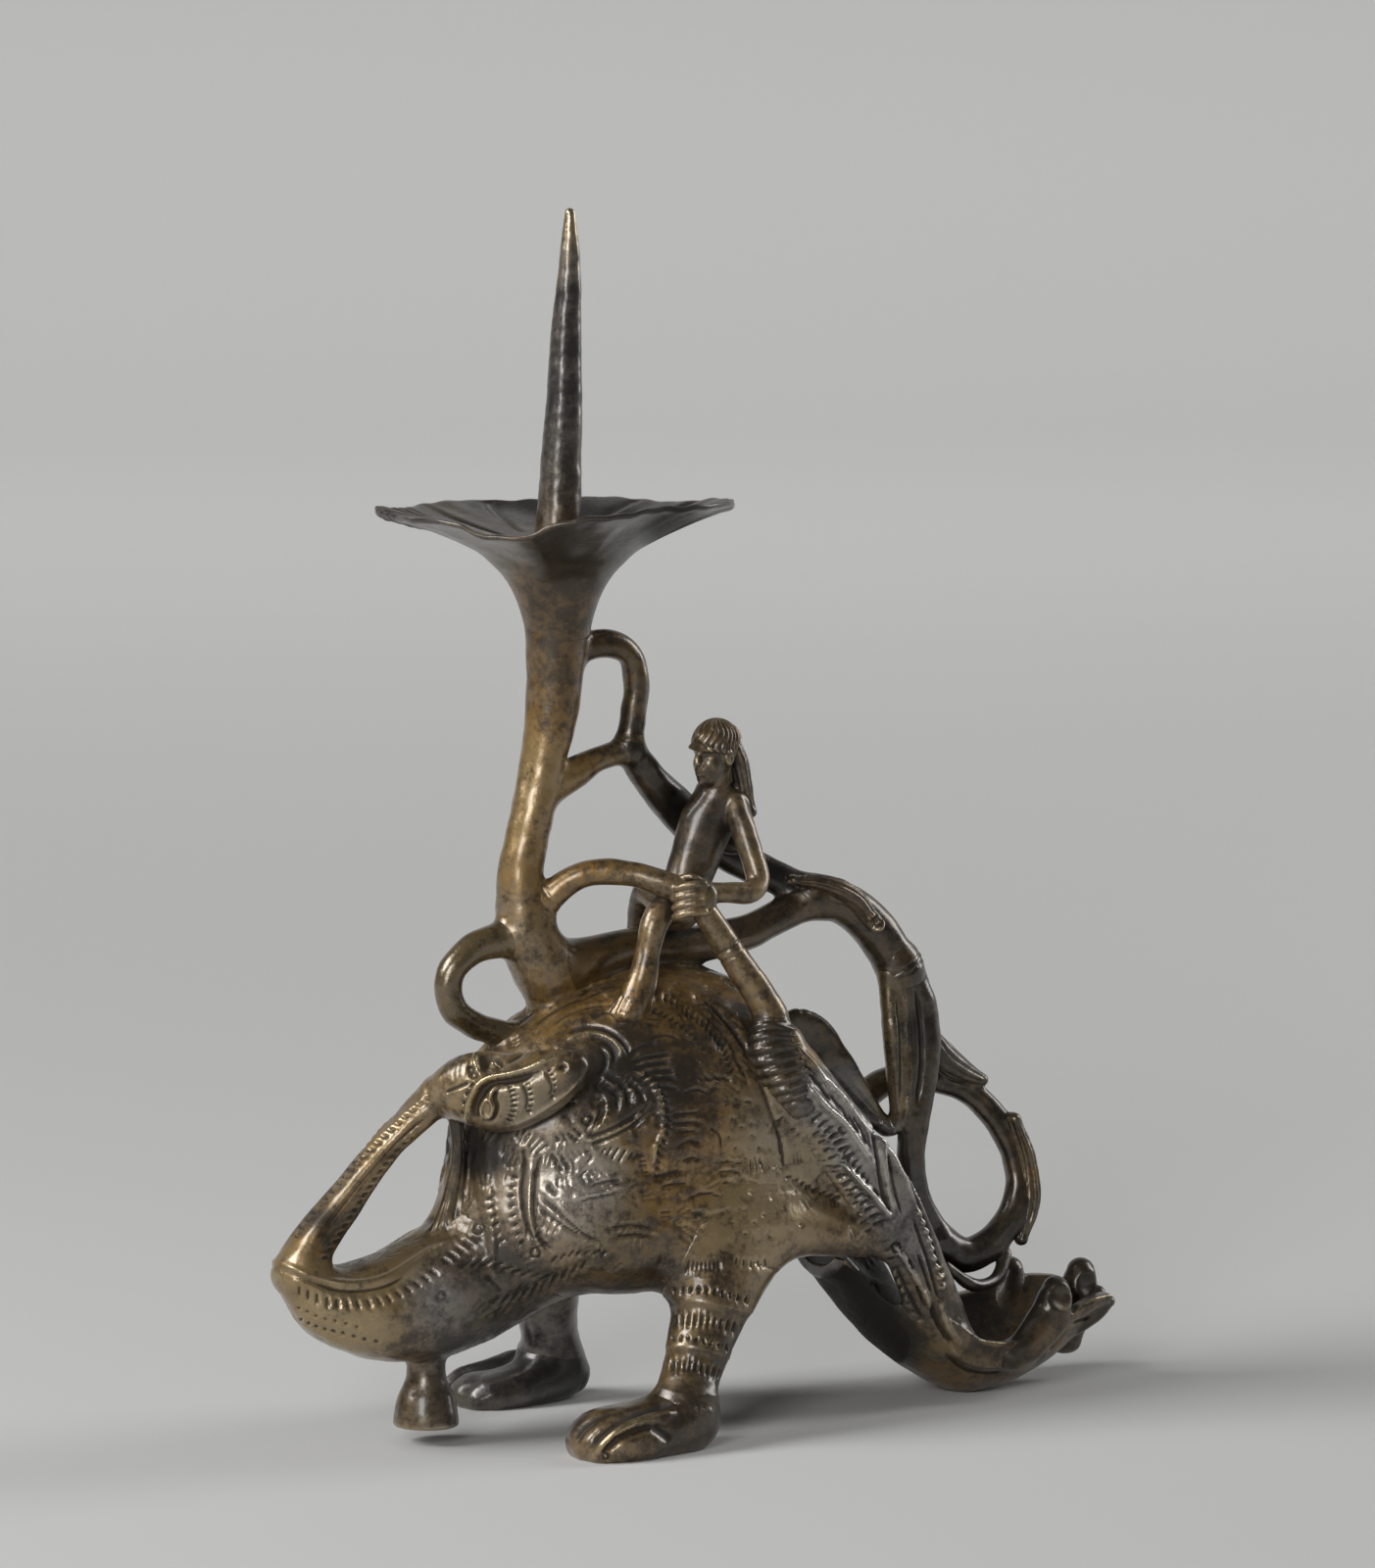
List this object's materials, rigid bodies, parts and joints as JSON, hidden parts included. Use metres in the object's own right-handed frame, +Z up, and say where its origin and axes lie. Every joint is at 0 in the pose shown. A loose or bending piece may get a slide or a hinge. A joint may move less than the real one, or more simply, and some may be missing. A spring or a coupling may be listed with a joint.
{
  "type": "pricket candlestick",
  "caption": "Cast bronze pricket candlestick shaped as a standing dragon with a rider; the stem and drip pan grow from its back and its tail scrolls behind.",
  "frame": {"origin": "on the ground under the middle of the whole candlestick", "axes": "+Z up; the dragon faces -X; its near side, where its head rests, is -Y"},
  "size_m": [0.1492, 0.0624, 0.1965],
  "materials": {
    "bronze": "dark brown bronze patina, semi-gloss, rubbed golden on high places",
    "worn_bronze": "bronze worn bright by handling, semi-gloss",
    "dark_bronze": "near-black green-brown bronze patina, semi-gloss"
  },
  "bodies": {
    "root": {"dragon_chest": "bronze", "dragon_rump": "bronze", "dragon_neck": "bronze", "neck_strap": "bronze", "dragon_head": "worn_bronze", "chin_strut": "worn_bronze", "neck_peg": "bronze", "near_foot": "worn_bronze", "near_leg": "bronze", "far_foot": "worn_bronze", "far_leg": "bronze", "near_wing_collar": "worn_bronze", "far_wing_collar": "worn_bronze", "near_wing": "bronze", "far_wing": "bronze", "wing_scoop": "bronze", "near_scoop_curl": "worn_bronze", "far_scoop_curl": "worn_bronze", "rear_scoop_curl": "worn_bronze", "scoop_tooth_near": "worn_bronze", "scoop_tooth_far": "worn_bronze", "stem": "bronze", "drip_pan": "bronze", "pricket_spike": "worn_bronze", "front_ring_shoot": "dark_bronze", "lower_branch": "dark_bronze", "upper_branch": "dark_bronze", "upper_cuff": "bronze", "upper_loop": "dark_bronze", "tail_arch": "dark_bronze", "tail_knot": "dark_bronze", "tail_trunk": "dark_bronze", "tail_ring": "dark_bronze", "inner_limb": "dark_bronze", "back_leaf": "dark_bronze", "arch_leaf": "worn_bronze", "ring_bud": "worn_bronze", "ring_leaf": "worn_bronze", "scoop_tendril": "worn_bronze", "rider_torso": "bronze", "rider_head": "worn_bronze", "rider_hair": "worn_bronze", "rider_fist": "worn_bronze", "rider_near_arm": "worn_bronze", "rein_shoot": "worn_bronze", "rider_far_arm": "bronze", "staff": "worn_bronze", "rider_near_leg": "worn_bronze", "rider_far_leg": "bronze"}
  },
  "joints": []
}
